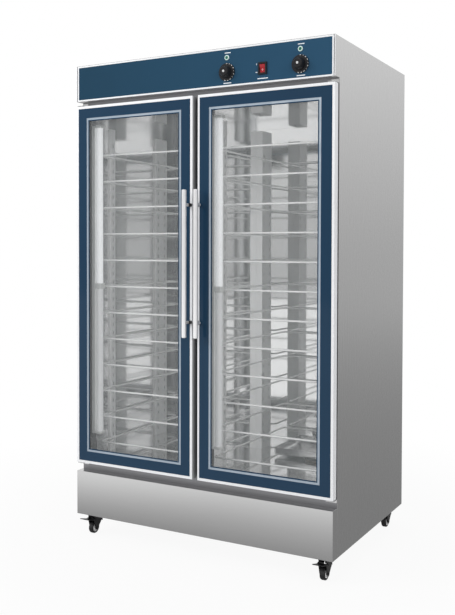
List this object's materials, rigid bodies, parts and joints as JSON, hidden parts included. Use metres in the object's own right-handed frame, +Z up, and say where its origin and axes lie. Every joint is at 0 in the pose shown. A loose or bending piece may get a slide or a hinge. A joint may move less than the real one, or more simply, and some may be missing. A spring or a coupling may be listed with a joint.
{
  "type": "proofing cabinet",
  "caption": "Upright proofing cabinet with glass doors on pivots, tray racks, heater with water pan, control hood and swivel casters.",
  "frame": {"origin": "on the floor, below the middle of the whole cabinet with its door handles", "axes": "+Z up, the doors face -Y, +X to the right as seen from the front"},
  "size_m": [1.18, 0.8454, 1.995],
  "materials": {
    "stainless": "brushed stainless sheet",
    "mirror_steel": "polished stainless sheet",
    "pale_trim": "pale satin aluminium",
    "blue_paint": "slate blue, satin",
    "blue_glass": "tempered glass with a slate blue border",
    "clear_glass": "clear tempered glass",
    "gasket_rubber": "matt black",
    "black_plastic": "black, satin",
    "red_plastic": "translucent red",
    "green_lens": "green lens in a pale ring",
    "ivory_plastic": "moulded ivory",
    "lamp_white": "white lamp tube and holders",
    "black_steel": "black enamel",
    "bright_wire": "bright plated wire and strip",
    "wheel_rubber": "black tyre on a pale hub",
    "foam": "rigid foam"
  },
  "bodies": {
    "cabinet": {"left_side_panel": "stainless", "right_side_panel": "stainless", "back_panel": "stainless", "top_panel": "stainless", "base_pan": "stainless", "lower_front_panel": "stainless", "left_wall_liner": "mirror_steel", "right_wall_liner": "mirror_steel", "back_wall_liner": "mirror_steel", "ceiling_liner": "mirror_steel", "chamber_floor": "mirror_steel", "insulation_foam": "foam", "front_frame": "stainless", "left_shelf_rack": "bright_wire", "right_shelf_rack": "bright_wire", "left_chamber_lamp": "lamp_white", "right_chamber_lamp": "lamp_white", "heating_element": "black_steel", "water_pan": "stainless", "hood_floor": "stainless", "control_panel_trim": "pale_trim", "control_panel": "blue_paint", "left_indicator_lamp": "green_lens", "right_indicator_lamp": "green_lens", "left_thermostat": "ivory_plastic", "right_thermostat": "ivory_plastic", "switch_bezel": "black_plastic", "cord_inlet": "black_plastic", "top_left_hinge_bracket": "stainless", "top_right_hinge_bracket": "stainless", "bottom_left_hinge_bracket": "stainless", "bottom_right_hinge_bracket": "stainless", "front_left_caster_plate": "black_steel", "front_right_caster_plate": "black_steel", "rear_left_caster_plate": "black_steel", "rear_right_caster_plate": "black_steel"},
    "left_door": {"left_door_frame": "pale_trim", "left_outer_glass": "blue_glass", "left_inner_glass": "clear_glass", "left_door_gasket": "gasket_rubber", "left_door_handle": "stainless"},
    "right_door": {"right_door_frame": "pale_trim", "right_outer_glass": "blue_glass", "right_inner_glass": "clear_glass", "right_door_gasket": "gasket_rubber", "right_door_handle": "stainless"},
    "left_dial": {"left_knob": "black_plastic"},
    "right_dial": {"right_knob": "black_plastic"},
    "rocker": {"power_rocker": "red_plastic"},
    "front_left_swivel": {"front_left_fork": "black_steel"},
    "front_left_roller": {"front_left_wheel": "wheel_rubber"},
    "front_left_brake": {"front_left_pedal": "black_steel"},
    "front_right_swivel": {"front_right_fork": "black_steel"},
    "front_right_roller": {"front_right_wheel": "wheel_rubber"},
    "front_right_brake": {"front_right_pedal": "black_steel"},
    "rear_left_swivel": {"rear_left_fork": "black_steel"},
    "rear_left_roller": {"rear_left_wheel": "wheel_rubber"},
    "rear_right_swivel": {"rear_right_fork": "black_steel"},
    "rear_right_roller": {"rear_right_wheel": "wheel_rubber"}
  },
  "joints": [
    {"name": "left_door_hinge", "type": "hinge", "parent": "cabinet", "child": "left_door", "pos_m": [-0.574, -0.36175, 0.312], "axis": [0, 0, -1], "range_deg": [0, 110]},
    {"name": "right_door_hinge", "type": "hinge", "parent": "cabinet", "child": "right_door", "pos_m": [0.574, -0.36175, 0.312], "axis": [0, 0, 1], "range_deg": [0, 110]},
    {"name": "left_knob_turn", "type": "hinge", "parent": "cabinet", "child": "left_dial", "pos_m": [0.1435, -0.37625, 1.901], "axis": [0, 1, 0], "range_deg": [0, 300]},
    {"name": "right_knob_turn", "type": "hinge", "parent": "cabinet", "child": "right_dial", "pos_m": [0.4525, -0.37625, 1.901], "axis": [0, 1, 0], "range_deg": [0, 300]},
    {"name": "rocker_tip", "type": "hinge", "parent": "cabinet", "child": "rocker", "pos_m": [0.2975, -0.37425, 1.901], "axis": [-1, 0, 0], "range_deg": [0, 16]},
    {"name": "front_left_swivel_turn", "type": "hinge", "parent": "cabinet", "child": "front_left_swivel", "pos_m": [-0.538, -0.29925, 0.025], "axis": [0, 0, 1], "continuous": true},
    {"name": "front_left_wheel_turn", "type": "hinge", "parent": "front_left_swivel", "child": "front_left_roller", "pos_m": [-0.538, -0.32925, 0.025], "axis": [1, 0, 0], "continuous": true},
    {"name": "front_left_pedal_turn", "type": "hinge", "parent": "front_left_swivel", "child": "front_left_brake", "pos_m": [-0.538, -0.34025, 0.062], "axis": [1, 0, 0], "range_deg": [0, 18]},
    {"name": "front_right_swivel_turn", "type": "hinge", "parent": "cabinet", "child": "front_right_swivel", "pos_m": [0.538, -0.29925, 0.025], "axis": [0, 0, 1], "continuous": true},
    {"name": "front_right_wheel_turn", "type": "hinge", "parent": "front_right_swivel", "child": "front_right_roller", "pos_m": [0.538, -0.32925, 0.025], "axis": [1, 0, 0], "continuous": true},
    {"name": "front_right_pedal_turn", "type": "hinge", "parent": "front_right_swivel", "child": "front_right_brake", "pos_m": [0.538, -0.34025, 0.062], "axis": [1, 0, 0], "range_deg": [0, 18]},
    {"name": "rear_left_swivel_turn", "type": "hinge", "parent": "cabinet", "child": "rear_left_swivel", "pos_m": [-0.538, 0.38275, 0.025], "axis": [0, 0, 1], "continuous": true},
    {"name": "rear_left_wheel_turn", "type": "hinge", "parent": "rear_left_swivel", "child": "rear_left_roller", "pos_m": [-0.538, 0.35275, 0.025], "axis": [1, 0, 0], "continuous": true},
    {"name": "rear_right_swivel_turn", "type": "hinge", "parent": "cabinet", "child": "rear_right_swivel", "pos_m": [0.538, 0.38275, 0.025], "axis": [0, 0, 1], "continuous": true},
    {"name": "rear_right_wheel_turn", "type": "hinge", "parent": "rear_right_swivel", "child": "rear_right_roller", "pos_m": [0.538, 0.35275, 0.025], "axis": [1, 0, 0], "continuous": true}
  ]
}
